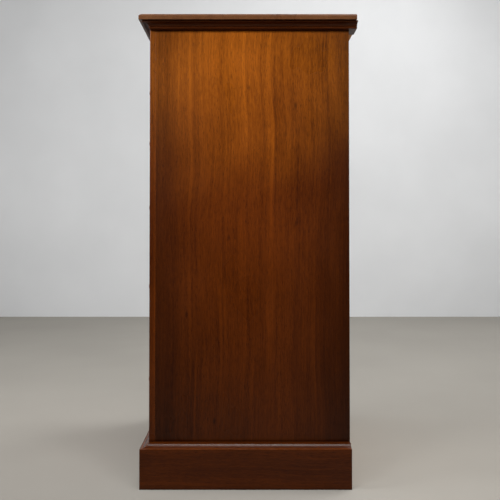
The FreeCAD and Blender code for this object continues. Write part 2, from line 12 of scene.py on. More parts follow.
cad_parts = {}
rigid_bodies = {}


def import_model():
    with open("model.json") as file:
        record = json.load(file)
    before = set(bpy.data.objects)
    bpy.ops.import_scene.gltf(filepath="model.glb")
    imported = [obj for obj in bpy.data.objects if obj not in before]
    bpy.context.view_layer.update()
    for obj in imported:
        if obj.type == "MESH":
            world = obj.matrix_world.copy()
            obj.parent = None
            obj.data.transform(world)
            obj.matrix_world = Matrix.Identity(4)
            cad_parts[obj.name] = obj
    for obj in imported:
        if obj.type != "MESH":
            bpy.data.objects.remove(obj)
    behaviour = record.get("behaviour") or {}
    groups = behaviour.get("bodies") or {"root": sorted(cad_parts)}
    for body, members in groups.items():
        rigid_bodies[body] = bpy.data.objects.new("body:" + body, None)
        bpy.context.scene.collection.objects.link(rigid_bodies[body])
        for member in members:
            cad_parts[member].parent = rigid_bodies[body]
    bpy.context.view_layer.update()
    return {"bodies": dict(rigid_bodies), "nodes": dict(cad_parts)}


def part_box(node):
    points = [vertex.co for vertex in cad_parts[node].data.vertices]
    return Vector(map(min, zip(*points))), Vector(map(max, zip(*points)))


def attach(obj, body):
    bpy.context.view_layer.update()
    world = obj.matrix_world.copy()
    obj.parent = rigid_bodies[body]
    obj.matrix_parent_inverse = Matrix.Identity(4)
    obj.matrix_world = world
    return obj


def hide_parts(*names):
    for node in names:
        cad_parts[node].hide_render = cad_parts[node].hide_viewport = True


bl_info = {
    "name": "Tall chest of drawers",
    "version": (1, 0, 0),
    "blender": (4, 5, 0),
    "location": "3D View > Sidebar > Chest",
    "description": "Woods, turned knobs, back screws and stage of a tall chest of drawers",
    "category": "Object",
}

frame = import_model()
MM = 0.001
DRAWERS = sorted(name for name in frame["bodies"] if name.startswith("drawer_"))


def linear(code):
    """The linear colour of an sRGB hex value."""
    shares = [int(code[at : at + 2], 16) / 255 for at in (1, 3, 5)]
    return tuple(
        share / 12.92 if share <= 0.04045 else ((share + 0.055) / 1.055) ** 2.4 for share in shares
    )


def colour(name, description, code):
    """A colour setting that starts at an sRGB hex value."""
    return bpy.props.FloatVectorProperty(
        name=name,
        description=description,
        default=linear(code),
        min=0,
        max=1,
        size=3,
        subtype="COLOR",
    )


def length(name, description, millimetres):
    """A length setting, given in millimetres and kept in metres."""
    return bpy.props.FloatProperty(
        name=name,
        description=description,
        default=millimetres * MM,
        min=0,
        unit="LENGTH",
        precision=4,
    )


def power(name, description, watts):
    """A lamp's power setting."""
    return bpy.props.FloatProperty(
        name=name, description=description, default=watts, min=0, unit="POWER"
    )


class ChestWoodSettings(bpy.types.PropertyGroup):
    """Colours and grain of the chest's woods."""

    mahogany_light: colour("Mahogany light", "The wood between its dark streaks", "#9c4e10")
    mahogany_deep: colour("Mahogany deep", "The wood's dark streaks", "#5c2805")
    top_light: colour("Top light", "The top board, browned by daylight", "#6f492c")
    top_deep: colour("Top deep", "Dark streaks of the top board", "#4b2a16")
    mahogany_pore: colour("Mahogany pores", "The open pores, darkened by polish", "#250d04")
    lining_light: colour("Lining light", "Planed drawer linings", "#b98d5c")
    lining_deep: colour("Lining deep", "Streaks of the drawer linings", "#96693c")
    pine_light: colour("Pine light", "Bare softwood inside and at the back", "#c0965e")
    pine_deep: colour("Pine deep", "Late wood of the softwood", "#94622f")
    ribbon: length("Ribbon width", "Width of one light or dark band of mahogany", 21)
    streak: length("Streak width", "Width of one streak along the grain", 5)
    pore: length("Pore width", "Drawn width of a pore, coarser than real so that it shows", 1.3)
    pore_run: length("Pore length", "Length of one pore along the grain", 11)


class ChestKnobSettings(bpy.types.PropertyGroup):
    """Sizes of the turned knobs that the frame doesn't give."""

    collar: length("Collar diameter", "The bead that seats on the drawer front", 23)
    waist: length("Waist diameter", "The narrowest part of the neck", 16)


class ChestScrewSettings(bpy.types.PropertyGroup):
    """Sizes of the slotted screws that hold the back boards."""

    head: length("Head diameter", "Diameter of a countersunk head", 8)
    slot_width: length("Slot width", "Width of the driving slot", 1.2)
    proud: length("Proud", "How far a head stands over the boards", 0.3)


class ChestStageSettings(bpy.types.PropertyGroup):
    """Floor, wall, lamps and camera."""

    floor: colour("Floor", "Plain pale floor", "#938f88")
    wall: colour("Wall", "Plain pale wall", "#d9dadb")
    key: power("Key lamps", "Power of each of the two key lamps", 5.6)
    overhead: power("Overhead lamp", "Power of the overhead lamp", 6)
    fill: power("Front lamp", "Power of the lamp in front", 64)
    rear: power("Rear lamp", "Power of the lamp behind", 52)
    wash: power("Wall lamp", "Power of the lamp on the wall", 26)
    ambient: bpy.props.FloatProperty(
        name="Ambient", description="Light of the surroundings", default=0.2, min=0
    )


class ChestSettings(bpy.types.PropertyGroup):
    """Everything that a user would change."""

    woods: bpy.props.PointerProperty(type=ChestWoodSettings)
    knobs: bpy.props.PointerProperty(type=ChestKnobSettings)
    screws: bpy.props.PointerProperty(type=ChestScrewSettings)
    stage: bpy.props.PointerProperty(type=ChestStageSettings)


# Materials

# A Mix node's colour sockets share their names with others, so they are reached by number
SHARE, FIRST, SECOND, MIXED = 0, 6, 7, 2

# A noise stays nearly always between these values
NOISE_LOW, NOISE_HIGH = 0.3, 0.7


def add(tree, kind, inputs=None, **settings):
    """Adds one node with its settings; an input is given a value or the output that feeds it."""
    made = tree.nodes.new("ShaderNode" + kind)
    for key, value in settings.items():
        setattr(made, key, value)
    for key, value in (inputs or {}).items():
        if isinstance(value, bpy.types.NodeSocket):
            tree.links.new(value, made.inputs[key])
        else:
            made.inputs[key].default_value = value
    return made


def new_material(name):
    """An empty material and its node tree."""
    material = bpy.data.materials.new(name)
    material.use_nodes = True
    material.node_tree.nodes.clear()
    return material, material.node_tree


def solid(rgb):
    """A colour with the fourth channel that a colour socket asks for."""
    return (*rgb, 1.0)


# Bands along the grain: width and length in metres, and how far they lighten and darken in all
Band = collections.namedtuple("Band", "width length strength")
CLOUD = Band(width=0.11, length=0.24, strength=0.28)

# A wood's polish
Gloss = collections.namedtuple("Gloss", "roughness coat coat_roughness specular")
SATIN = Gloss(roughness=0.31, coat=0.06, coat_roughness=0.18, specular=0.12)
TURNED = Gloss(roughness=0.24, coat=0.08, coat_roughness=0.18, specular=0.15)
# Wiped by each passing duster, and dull where none reaches
WIPED = Gloss(roughness=0.3, coat=0.16, coat_roughness=0.13, specular=0.12)
DULL = Gloss(roughness=0.5, coat=0, coat_roughness=0.3, specular=0.05)
WAXED = Gloss(roughness=0.55, coat=0, coat_roughness=0.3, specular=0.4)
BARE = Gloss(roughness=0.72, coat=0, coat_roughness=0.3, specular=0.3)
# How much smoother and how much rougher than that its patches are
SMOOTHER, ROUGHER = 0.05, 0.06

# A kind of wood: its colours, its bands from wide to fine, its polish and how dark its knots are
Wood = collections.namedtuple("Wood", "light deep pore_tone ribbon streak fleck pore gloss pins")

# Daylight turns red-brown mahogany golden, and old polish turns it redder: gains per channel
GOLDEN = (1.0, 1.17, 0.9)
SMOKED = (1.0, 0.86, 0.6)

# Painted light and shade, with the colours that years of daylight and old polish give. Between the
# heights low and high, in metres, the wood goes from foot times its brightness, smoked, to top
# times its brightness, golden: the paler top is painted light and the darker foot painted shade.
# The fifth value is the share of that which is lost EDGE_AT metres in front of and behind the
# middle, a painted shade towards the front and back. The last is the share of painted shade at
# the foot, in full below the lower of the two heights that follow and none above the higher.
Daylight = collections.namedtuple("Daylight", "low high foot top loss soil")
PANEL_DAYLIGHT = Daylight(low=0.72, high=1.2, foot=0.46, top=1.45, loss=0.6, soil=0.45)
PILASTER_DAYLIGHT = PANEL_DAYLIGHT._replace(foot=0.5, top=1.0, loss=0.25, soil=0.25)
# The plinth and cornice pieces: painted shade all over, down to a quarter of the brightness
MOULDING_DAYLIGHT = Daylight(low=2, high=3, foot=0.25, top=0.25, loss=0, soil=0)
# Rails and drawer fronts: painted shade towards the foot and painted light towards the top
RAIL_DAYLIGHT = Daylight(low=0.1, high=1.1, foot=0.55, top=0.8, loss=0, soil=0)
FRONT_DAYLIGHT = Daylight(low=0.1, high=1.1, foot=0.85, top=1.2, loss=0, soil=0)
EDGE_AT = 0.25
FOOT_SHADE_FROM, FOOT_SHADE_TO = 0.1, 0.65
# The border between dark and pale wanders up and down within this height, in this many waves
# to the metre
BORDER_WANDER = 0.4
BORDER_WAVES = 3.1

# The fibres wander sideways within this width, in this many waves to the metre
FIBRE_WANDER = 34 * MM
FIBRE_WAVES = 2.6

# A board's tone before its bands: half way between the wood's deep and light colours
MIDDLE_TONE = 0.5

# Several boards in one node: how far apart in the log they were cut, and how far apart in tone
BOARDS_APART = (9, 7, 5)
BOARD_DARKEST, BOARD_PALEST = -0.3, 0.25

# Only the highest values of a noise make a pale stripe
STRIPE_FROM, STRIPE_TO = 0.63, 0.72

# A pore shows where its noise passes an edge, which falls where pores crowd
PORE_EDGE, PORE_CROWDING = 0.72, -0.22
PORE_FADE = 0.1

# Pin knots: how dark the darkest is, the space that each has across and along the grain, and
# where its eye fades out
PIN_DARKEST = 0.8
PIN_ACROSS, PIN_ALONG = 55 * MM, 130 * MM
PIN_CORE, PIN_RIM = 0.02, 0.09

# Painted shade in the corners between pieces: how far it reaches, how shut in a spot is where it
# is darkest and where it ends, and how much of the wood's brightness is left there
CORNER_SHADE_REACH = 8 * MM
CORNER_SHADE_SHUT, CORNER_SHADE_OPEN = 0.35, 0.85
CORNER_SHADE_DARKEST = 0.06

# Arrises: their radius, how far the rounded face leans where they begin and where they are full,
# how much paler than the light wood they are, and how much of that shows
ARRIS_RADIUS = 1.2 * MM
ARRIS_BEGINS, ARRIS_FULL = 0.985, 0.8
ARRIS_PALER = 1.35
ARRIS_RUB = 0.35

# How far the pores and streaks stand out of the surface, and how much of that shows
RELIEF = 0.25 * MM
RELIEF_STRENGTH = 0.35

# A rolled coat of paint is paler and darker by this share
MOTTLE = 0.03

GRAIN_TURN = {
    "x": (0, math.radians(90), 0),
    "y": (math.radians(90), 0, 0),
    "z": (0, 0, 0),
}


def along_grain(tree, fibres, width, run_length, detail, roughness=0.5):
    """A noise in patches about width across the grain and run_length along it."""
    drawn = add(
        tree,
        "VectorMath",
        {0: fibres, 1: (1 / width, 1 / width, 1 / run_length)},
        operation="MULTIPLY",
    ).outputs["Vector"]
    inputs = {"Vector": drawn, "Scale": 1, "Detail": detail, "Roughness": roughness}
    return add(tree, "TexNoise", inputs).outputs["Fac"]


def bands(tree, fibres, band, detail, roughness):
    """Lighter and darker bands along the grain, by half the band's strength either way."""
    return add(
        tree,
        "MapRange",
        {
            "Value": along_grain(tree, fibres, band.width, band.length, detail, roughness),
            "From Min": NOISE_LOW,
            "From Max": NOISE_HIGH,
            "To Min": -band.strength / 2,
            "To Max": band.strength / 2,
        },
    ).outputs["Result"]


def pale_stripes(tree, fibres, ribbon):
    """A few narrow bands that stand out pale from end to end of the board."""
    rare = along_grain(tree, fibres, ribbon.width * 0.8, ribbon.length * 0.6, detail=1)
    return add(
        tree,
        "MapRange",
        {
            "Value": rare,
            "From Min": STRIPE_FROM,
            "From Max": STRIPE_TO,
            "To Min": 0,
            "To Max": ribbon.strength * 0.8,
        },
    ).outputs["Result"]


def open_pores(tree, fibres, kind):
    """Short dark dashes, denser in some bands than in others."""
    dashes = along_grain(tree, fibres, kind.pore.width, kind.pore.length, detail=1)
    crowding = along_grain(
        tree, fibres, kind.ribbon.width * 0.6, kind.ribbon.length * 0.5, detail=1
    )
    edge = add(
        tree, "Math", {0: crowding, 1: PORE_CROWDING, 2: PORE_EDGE}, operation="MULTIPLY_ADD"
    )
    past = add(tree, "Math", {0: dashes, 1: edge.outputs["Value"]}, operation="SUBTRACT")
    return add(
        tree,
        "MapRange",
        {
            "Value": past.outputs["Value"],
            "From Min": 0,
            "From Max": PORE_FADE,
            "To Min": 0,
            "To Max": kind.pore.strength,
        },
    ).outputs["Result"]


def pin_knots(tree, fibres, kind):
    """Small dark eyes, long in the grain, a few in each board."""
    eyes = add(
        tree,
        "VectorMath",
        {0: fibres, 1: (1 / PIN_ACROSS, 1 / PIN_ACROSS, 1 / PIN_ALONG)},
        operation="MULTIPLY",
    ).outputs["Vector"]
    cells = add(tree, "TexVoronoi", {"Vector": eyes, "Scale": 1, "Randomness": 1})
    depth = add(
        tree, "Math", {0: cells.outputs["Color"], 1: kind.pins}, operation="MULTIPLY"
    ).outputs["Value"]
    return add(
        tree,
        "MapRange",
        {
            "Value": cells.outputs["Distance"],
            "From Min": PIN_CORE,
            "From Max": PIN_RIM,
            "To Min": depth,
            "To Max": 0,
        },
        interpolation_type="SMOOTHSTEP",
    ).outputs["Result"]


def painted_light_and_fade(tree, tint, place, daylight):
    """The colour tint with painted light above, painted shade at the foot, front and back, and
    the colours of daylight and old polish.
    """
    apart = add(tree, "SeparateXYZ", {0: place}).outputs
    blur = add(tree, "TexNoise", {"Vector": place, "Scale": BORDER_WAVES, "Detail": 2})
    level = add(
        tree,
        "Math",
        {0: blur.outputs["Fac"], 1: BORDER_WANDER, 2: apart["Z"]},
        operation="MULTIPLY_ADD",
    ).outputs["Value"]
    pale = add(
        tree,
        "MapRange",
        {
            "Value": level,
            "From Min": daylight.low + BORDER_WANDER / 2,
            "From Max": daylight.high + BORDER_WANDER / 2,
        },
        interpolation_type="SMOOTHSTEP",
    ).outputs["Result"]
    gain = add(
        tree,
        "Mix",
        {
            SHARE: pale,
            FIRST: solid([daylight.foot * part for part in SMOKED]),
            SECOND: solid([daylight.top * part for part in GOLDEN]),
        },
        data_type="RGBA",
    ).outputs[MIXED]
    sideways = add(tree, "Math", {0: apart["Y"], 1: apart["Y"]}, operation="MULTIPLY")
    kept = add(
        tree,
        "Math",
        {0: sideways.outputs["Value"], 1: -daylight.loss / EDGE_AT ** 2, 2: 1.0},
        operation="MULTIPLY_ADD",
    ).outputs["Value"]
    unshaded = add(
        tree,
        "MapRange",
        {
            "Value": apart["Z"],
            "From Min": FOOT_SHADE_FROM,
            "From Max": FOOT_SHADE_TO,
            "To Min": 1 - daylight.soil,
            "To Max": 1,
        },
    ).outputs["Result"]
    kept = add(tree, "Math", {0: kept, 1: unshaded}, operation="MULTIPLY").outputs["Value"]
    gain = add(tree, "VectorMath", {0: gain, "Scale": kept}, operation="SCALE").outputs["Vector"]
    return add(tree, "VectorMath", {0: tint, 1: gain}, operation="MULTIPLY").outputs["Vector"]


def painted_corner_shade(tree, tint):
    """The colour tint with painted shade in the corners between pieces."""
    open_share = add(tree, "AmbientOcclusion", {"Distance": CORNER_SHADE_REACH}, samples=8).outputs["AO"]
    unshaded = add(
        tree,
        "MapRange",
        {
            "Value": open_share,
            "From Min": CORNER_SHADE_SHUT,
            "From Max": CORNER_SHADE_OPEN,
            "To Min": CORNER_SHADE_DARKEST,
            "To Max": 1.0,
        },
    ).outputs["Result"]
    return add(tree, "VectorMath", {0: tint, "Scale": unshaded}, operation="SCALE").outputs["Vector"]


def rubbed(tree, tint, rounded, light):
    """The colour tint with the arrises rubbed paler, where the rounded normal leans away."""
    facing = add(tree, "NewGeometry").outputs["Normal"]
    agree = add(tree, "VectorMath", {0: rounded, 1: facing}, operation="DOT_PRODUCT")
    share = add(
        tree,
        "MapRange",
        {
            "Value": agree.outputs["Value"],
            "From Min": ARRIS_BEGINS,
            "From Max": ARRIS_FULL,
            "To Min": 0,
            "To Max": ARRIS_RUB,
        },
    ).outputs["Result"]
    bare = solid(min(1, ARRIS_PALER * part) for part in light)
    inputs = {SHARE: share, FIRST: tint, SECOND: bare}
    return add(tree, "Mix", inputs, data_type="RGBA").outputs[MIXED]


def wood(name, kind, run, shift, daylight=None, corner_shade=False, several=False):
    """A wood of one kind, whose grain runs along the axis called run.

    shift moves the board through the log, so that neighbours don't match. daylight paints light on
    the upper part and shade at the foot and the edges, and gives the colours of daylight and old
    polish. The next argument paints shade into the corners between pieces, on pieces that stay
    where they are. several is for a node of several boards side by side, each cut from its own
    part of the log.
    """
    material, tree = new_material(name)
    place = add(tree, "TexCoord").outputs["Object"]
    spot = place
    tones = []
    if several:
        number = add(tree, "NewGeometry").outputs["Random Per Island"]
        spot = add(
            tree, "VectorMath", {0: number, 1: BOARDS_APART, 2: place}, operation="MULTIPLY_ADD"
        ).outputs["Vector"]
        own_tone = {"Value": number, "To Min": BOARD_DARKEST, "To Max": BOARD_PALEST}
        tones.append(add(tree, "MapRange", own_tone).outputs["Result"])
    board = add(
        tree, "Mapping", {"Vector": spot, "Location": shift, "Rotation": GRAIN_TURN[run]}
    ).outputs["Vector"]
    wander = add(
        tree,
        "TexNoise",
        {"Vector": board, "Scale": FIBRE_WAVES, "Detail": 1.5, "Roughness": 0.4},
    ).outputs["Color"]
    fibres = add(
        tree,
        "VectorMath",
        {0: wander, 1: (FIBRE_WANDER, FIBRE_WANDER, 0), 2: board},
        operation="MULTIPLY_ADD",
    ).outputs["Vector"]

    streaks = bands(tree, fibres, kind.streak, detail=3, roughness=0.62)
    # Cloudy patches of a hand's breadth, where the log's colour changed
    clouds = bands(tree, fibres, CLOUD, detail=2.5, roughness=0.55)
    tones += [
        bands(tree, fibres, kind.ribbon, detail=2, roughness=0.5),
        pale_stripes(tree, fibres, kind.ribbon),
        streaks,
        # Flecks: soft short flashes where the fibres rise to the surface and dive again
        bands(tree, fibres, kind.fleck, detail=2, roughness=0.6),
        clouds,
    ]
    tone = MIDDLE_TONE
    for more in tones:
        tone = add(tree, "Math", {0: tone, 1: more}, operation="ADD").outputs["Value"]
    pores = open_pores(tree, fibres, kind)
    tint = solid(kind.deep)
    layers = [(tone, kind.light), (pores, kind.pore_tone)]
    if kind.pins:
        layers.append((pin_knots(tree, fibres, kind), kind.pore_tone))
    for share, over in layers:
        tint = add(
            tree, "Mix", {SHARE: share, FIRST: tint, SECOND: solid(over)}, data_type="RGBA"
        ).outputs[MIXED]
    # Painted light on the upper part, painted shade at the foot, front and back, and aged colours
    if daylight:
        tint = painted_light_and_fade(tree, tint, place, daylight)
    # Painted shade in the corners between pieces
    if corner_shade:
        tint = painted_corner_shade(tree, tint)

    rounded = add(tree, "Bevel", {"Radius": ARRIS_RADIUS}, samples=4).outputs["Normal"]
    relief = add(tree, "Math", {0: pores, 1: -1.0, 2: streaks}, operation="MULTIPLY_ADD")
    bump = add(
        tree,
        "Bump",
        {
            "Strength": RELIEF_STRENGTH,
            "Distance": RELIEF,
            "Height": relief.outputs["Value"],
            "Normal": rounded,
        },
    ).outputs["Normal"]
    sheen_patches = add(
        tree,
        "MapRange",
        {
            "Value": clouds,
            "From Min": -CLOUD.strength / 2,
            "From Max": CLOUD.strength / 2,
            "To Min": kind.gloss.roughness - SMOOTHER,
            "To Max": kind.gloss.roughness + ROUGHER,
        },
    ).outputs["Result"]
    shader = add(
        tree,
        "BsdfPrincipled",
        {
            "Base Color": rubbed(tree, tint, rounded, kind.light),
            "Roughness": sheen_patches,
            "Normal": bump,
            "IOR": 1.5,
            "Specular IOR Level": kind.gloss.specular,
            "Coat Weight": kind.gloss.coat,
            "Coat Roughness": kind.gloss.coat_roughness,
            "Coat IOR": 1.5,
        },
    )
    add(tree, "OutputMaterial", {"Surface": shader.outputs["BSDF"]})
    return material


def mahogany(
    name, run, shift, daylight=None, gloss=SATIN, pins=PIN_DARKEST, pale=False, corner_shade=False
):
    """French-polished mahogany: deep red-brown, satin gloss, soft ribbons and fine dark pores.

    The top board is the pale kind, browner where daylight has fallen on it.
    """
    look = bpy.context.scene.chest.woods
    kind = Wood(
        light=look.top_light if pale else look.mahogany_light,
        deep=look.top_deep if pale else look.mahogany_deep,
        pore_tone=look.mahogany_pore,
        ribbon=Band(look.ribbon, 2.2, 0.36),
        streak=Band(look.streak, 0.3, 0.36),
        fleck=Band(2.2 * MM, 20 * MM, 0.46),
        pore=Band(look.pore, look.pore_run, 0.46),
        gloss=gloss,
        pins=pins,
    )
    return wood(name, kind, run, shift, daylight, corner_shade)


def lining(name, run, shift):
    """Planed and waxed oak: pale tan, low sheen, straight fine grain with open pores."""
    look = bpy.context.scene.chest.woods
    kind = Wood(
        light=look.lining_light,
        deep=look.lining_deep,
        pore_tone=linear("#5b3a1d"),
        ribbon=Band(30 * MM, 0.8, 0.45),
        streak=Band(4 * MM, 0.5, 0.4),
        fleck=Band(2 * MM, 30 * MM, 0.2),
        pore=Band(1.3 * MM, 18 * MM, 0.5),
        gloss=WAXED,
        pins=0,
    )
    return wood(name, kind, run, shift)


def pine(name, run, shift, several=False):
    """Bare pine, darkened by age: matt, with wide pale early wood and narrow brown late wood."""
    look = bpy.context.scene.chest.woods
    kind = Wood(
        light=look.pine_light,
        deep=look.pine_deep,
        pore_tone=linear("#4d2c14"),
        ribbon=Band(22 * MM, 1.4, 0.9),
        streak=Band(5 * MM, 0.7, 0.5),
        fleck=Band(2 * MM, 40 * MM, 0.2),
        pore=Band(2 * MM, 20 * MM, 0.12),
        gloss=BARE,
        pins=0,
    )
    return wood(name, kind, run, shift, several=several)


def plain(name, rgb, roughness, lift):
    """A matt paint with the faint mottle of a rolled coat. lift pales it for the camera alone."""
    material, tree = new_material(name)
    place = add(tree, "TexCoord").outputs["Object"]
    mottle = add(tree, "TexNoise", {"Vector": place, "Scale": 2.0, "Detail": 3}).outputs["Fac"]
    level = add(
        tree,
        "MapRange",
        {
            "Value": mottle,
            "From Min": NOISE_LOW,
            "From Max": NOISE_HIGH,
            "To Min": 1 - MOTTLE,
            "To Max": 1 + MOTTLE,
        },
    ).outputs["Result"]
    tint = add(tree, "VectorMath", {0: tuple(rgb), "Scale": level}, operation="SCALE")
    seen = add(tree, "LightPath").outputs["Is Camera Ray"]
    glow = add(tree, "Math", {0: seen, 1: lift}, operation="MULTIPLY").outputs["Value"]
    shader = add(
        tree,
        "BsdfPrincipled",
        {
            "Base Color": tint.outputs["Vector"],
            "Roughness": roughness,
            "Specular IOR Level": 0.1,
            "Emission Color": tint.outputs["Vector"],
            "Emission Strength": glow,
        },
    )
    add(tree, "OutputMaterial", {"Surface": shader.outputs["BSDF"]})
    return material


def aged_steel():
    """Steel wood screws, dulled brown-grey by age in small patches."""
    material, tree = new_material("Steel_screw_aged")
    place = add(tree, "TexCoord").outputs["Object"]
    patches = add(tree, "TexNoise", {"Vector": place, "Scale": 420, "Detail": 4}).outputs["Fac"]
    tone = add(
        tree,
        "Mix",
        {SHARE: patches, FIRST: solid(linear("#4a3b30")), SECOND: solid(linear("#8d877e"))},
        data_type="RGBA",
    ).outputs[MIXED]
    rough = add(
        tree,
        "MapRange",
        {
            "Value": patches,
            "From Min": NOISE_LOW,
            "From Max": NOISE_HIGH,
            "To Min": 0.32,
            "To Max": 0.6,
        },
    ).outputs["Result"]
    bump = add(tree, "Bump", {"Strength": 0.3, "Distance": 0.1 * MM, "Height": patches})
    shader = add(
        tree,
        "BsdfPrincipled",
        {
            "Base Color": tone,
            "Metallic": 1.0,
            "Roughness": rough,
            "Normal": bump.outputs["Normal"],
        },
    )
    add(tree, "OutputMaterial", {"Surface": shader.outputs["BSDF"]})
    return material


def give(material, *names):
    """Puts one material in every slot of the CAD nodes called names."""
    for name in names:
        node = frame["nodes"][name]
        if not node.material_slots:
            node.data.materials.append(material)
        for slot in node.material_slots:
            slot.material = material


# Meshes

def object_from(name, shape, material, smooth_below=None):
    """A scene object from a bmesh, smooth where faces meet at less than smooth_below degrees."""
    bmesh.ops.recalc_face_normals(shape, faces=shape.faces)
    mesh = bpy.data.meshes.new(name)
    shape.to_mesh(mesh)
    shape.free()
    if smooth_below:
        mesh.shade_smooth()
        mesh.set_sharp_from_angle(angle=math.radians(smooth_below))
    mesh.materials.append(material)
    made = bpy.data.objects.new(name, mesh)
    bpy.context.scene.collection.objects.link(made)
    return made


def curve_through(points, steps):
    """Points along a smooth curve through all of points, a Catmull-Rom spline."""
    ends = [points[0], *points, points[-1]]
    out = []
    for four in zip(ends, ends[1:], ends[2:], ends[3:]):
        for step in range(steps):
            t = step / steps
            out.append(
                tuple(
                    0.5
                    * (
                        2 * b
                        + (c - a) * t
                        + (2 * a - 5 * b + 4 * c - d) * t ** 2
                        + (3 * b - a - 3 * c + d) * t ** 3
                    )
                    for a, b, c, d in zip(*four)
                )
            )
    return out + [points[-1]]


def turn(shape, profile, centre, segments=64):
    """Turns a profile of (distance in front, radius) about a line along Y through centre.

    A radius of 0 becomes one point on that line.
    """
    rings = [
        [
            shape.verts.new(
                centre + Vector((radius * math.cos(angle), -front, radius * math.sin(angle)))
            )
            for angle in (math.tau * step / segments for step in range(segments if radius else 1))
        ]
        for front, radius in profile
    ]
    for near, far in zip(rings, rings[1:]):
        for step in range(segments):
            after = (step + 1) % segments
            around = ((near, step), (near, after), (far, after), (far, step))
            corners = dict.fromkeys(ring[at % len(ring)] for ring, at in around)
            shape.faces.new(list(corners))


# Operators

# Where the plinth's and the cornice's boards lie in the log: the grain's axis and their shift
FRONT_RUN = ("x", (5.1, 0.4, 2.2))
SIDE_RUN = ("y", (0.9, 6.3, 1.5))
MOULDINGS = (
    ("Mahogany_polished_plinth_front", FRONT_RUN, SATIN, ["plinth_front"]),
    ("Mahogany_dull_cornice_front", FRONT_RUN, DULL, ["cornice_front"]),
    ("Mahogany_wiped_moulding_front", FRONT_RUN, WIPED, ["plinth_moulding_front"]),
    ("Mahogany_polished_plinth_side", SIDE_RUN, SATIN, ["plinth_right", "plinth_left"]),
    ("Mahogany_polished_cornice_side", SIDE_RUN, SATIN, ["cornice_right", "cornice_left"]),
    (
        "Mahogany_wiped_moulding_side",
        SIDE_RUN,
        WIPED,
        ["plinth_moulding_right", "plinth_moulding_left"],
    ),
)


class CHEST_OT_carcase(bpy.types.Operator):
    """Finish the sides, pilasters, rails, runners, inner boards and back of the carcase"""

    bl_idname = "chest.carcase"
    bl_label = "Carcase"

    def execute(self, context):
        for hand, shift in (("right", (0.31, 0.12, 0.4)), ("left", (1.7, 0.9, 2.2))):
            name = f"Mahogany_polished_side_{hand}"
            give(mahogany(name, "z", shift, PANEL_DAYLIGHT, corner_shade=True), f"side_{hand}")
        pilaster = mahogany(
            "Mahogany_polished_pilaster", "z", (3.3, 2.1, 0.7), PILASTER_DAYLIGHT, corner_shade=True
        )
        give(pilaster, "pilaster_right", "pilaster_left")
        rail = mahogany("Mahogany_polished_rail", "x", (0.7, 3.9, 1.2), RAIL_DAYLIGHT)
        give(rail, "drawer_rails", "frieze_rail")
        give(pine("Pine_bare_back_boards", "z", (2.4, 0.3, 1.1), several=True), "back_boards")
        cross = pine("Pine_bare_cross_board", "x", (1.1, 5.0, 0.2))
        give(cross, "case_bottom", "case_top", "cornice_back_rail")
        runner = pine("Pine_bare_runner", "y", (4.2, 1.3, 3.0))
        give(runner, "drawer_runners", "drawer_guides", "drawer_stops")
        return {"FINISHED"}


class CHEST_OT_mouldings(bpy.types.Operator):
    """Finish the plinth, the cornice and the top board"""

    bl_idname = "chest.mouldings"
    bl_label = "Plinth, cornice and top"

    def execute(self, context):
        for name, (run, shift), gloss, pieces in MOULDINGS:
            give(mahogany(name, run, shift, MOULDING_DAYLIGHT, gloss, corner_shade=True), *pieces)
        top = mahogany("Mahogany_polished_top", "x", (2.2, 2.7, 5.4), pale=True, corner_shade=True)
        give(top, "top_slab")
        give(pine("Pine_bare_plinth", "x", (7.1, 0.2, 0.9)), "plinth_back", "plinth_blocks")
        return {"FINISHED"}


class CHEST_OT_drawers(bpy.types.Operator):
    """Finish the drawer fronts and the drawers' linings"""

    bl_idname = "chest.drawers"
    bl_label = "Drawers"

    def execute(self, context):
        for number, body in enumerate(DRAWERS, start=1):
            name = f"Mahogany_polished_front_{number}"
            shift = (0.13 * number, 1.9, 3.7 * number)
            give(mahogany(name, "x", shift, FRONT_DAYLIGHT), f"{body}_front")
        sides = lining("Oak_waxed_drawer_side", "y", (1.5, 0.6, 2.8))
        cross = lining("Oak_waxed_drawer_cross", "x", (0.2, 4.4, 1.3))
        for body in DRAWERS:
            give(sides, f"{body}_sides")
            give(cross, f"{body}_back", f"{body}_bottom")
        return {"FINISHED"}


class CHEST_OT_knobs(bpy.types.Operator):
    """Turn the pairs of knobs, with a collar, a coved neck and a domed head"""

    bl_idname = "chest.knobs"
    bl_label = "Knobs"

    def execute(self, context):
        sizes = context.scene.chest.knobs
        polish = mahogany("Mahogany_turned_knob", "y", (0.05, 8.2, 0.6), gloss=TURNED, pins=0)
        for body in DRAWERS:
            low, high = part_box(f"{body}_knobs")
            profile = self.section(sizes, high.z - low.z, high.y - low.y)
            inset = (high.z - low.z) / 2
            shape = bmesh.new()
            for centre_x in (low.x + inset, high.x - inset):
                turn(shape, profile, Vector((centre_x, high.y, (low.z + high.z) / 2)))
            knobs = object_from(f"{body}_knobs_turned", shape, polish, smooth_below=38)
            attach(knobs, body)
            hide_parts(f"{body}_knobs")
        return {"FINISHED"}

    def section(self, sizes, diameter, projection):
        """A knob's section, from the drawer's face out: a bead, a coved neck and a domed head.

        The points are (distance in front, radius) in millimetres.
        """
        collar, waist, rim = (across / 2 / MM for across in (sizes.collar, sizes.waist, diameter))
        reach = projection / MM
        bead = [(0, collar), (1.2, collar + 0.4), (2.6, collar), (3.4, collar - 1.6)]
        neck = [bead[-1], (7.5, waist), (12, waist + 0.4), (17, rim - 5.2), (20.5, rim - 1.9)]
        head = [
            (20.5, rim - 1.4),
            (22.5, rim - 0.2),
            (25, rim),
            (28.5, rim - 1.1),
            (reach - 4.6, rim * 0.78),
            (reach - 1.7, rim * 0.48),
            (reach, 0),
        ]
        curve = curve_through(bead, 4) + curve_through(neck, 6)[1:] + curve_through(head, 7)
        return [(0, 0)] + [(front * MM, radius * MM) for front, radius in curve]


SCREW_SEED = 7
BACK_BOARDS = 4
SCREW_FROM_END = 10 * MM
SCREW_FROM_SIDE = 6 * MM
HEAD_STEPS = 12
# The share of a head's radius that is flat on top
HEAD_FLAT = 0.93


